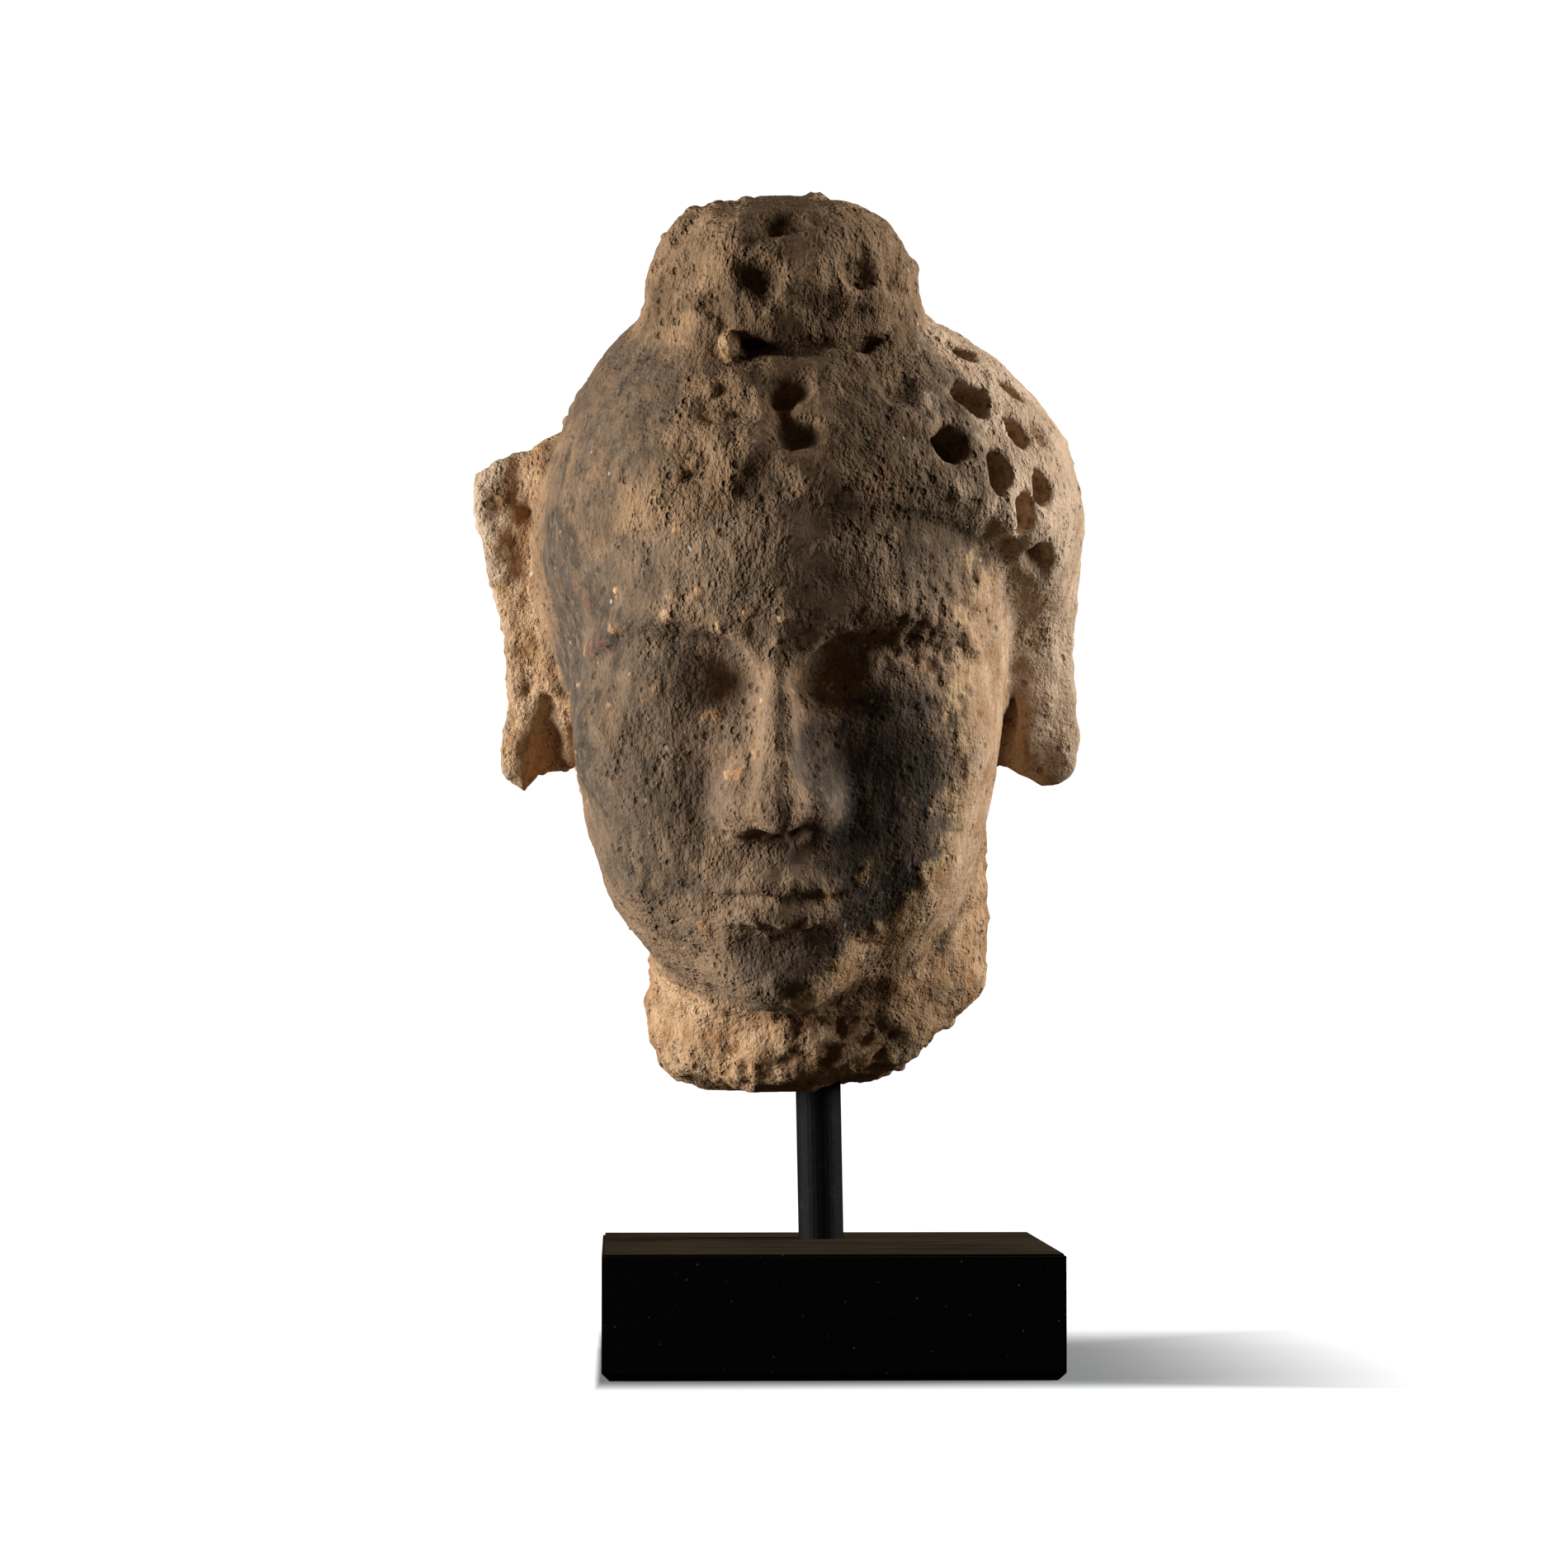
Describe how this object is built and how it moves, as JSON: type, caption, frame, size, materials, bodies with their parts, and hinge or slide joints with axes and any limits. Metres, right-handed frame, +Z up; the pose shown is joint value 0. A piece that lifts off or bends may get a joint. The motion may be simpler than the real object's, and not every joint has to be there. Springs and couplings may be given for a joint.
{
  "type": "stucco head sculpture",
  "caption": "Stucco head with a calm oval face, bored hair, a flat-topped knot, long ears and a broken neck, held on a round rod in a square black block.",
  "frame": {"origin": "centre of the square block's underside", "axes": "+Z up; the face looks along -Y, and +X is on the viewer's right"},
  "size_m": [0.1279, 0.1227, 0.2406],
  "materials": {
    "stucco": "matt, gritty lime stucco with dark patina",
    "black_steel": "satin black",
    "black_wood": "matt black"
  },
  "bodies": {
    "root": {"head": "stucco", "rod": "black_steel", "base_block": "black_wood"}
  },
  "joints": []
}
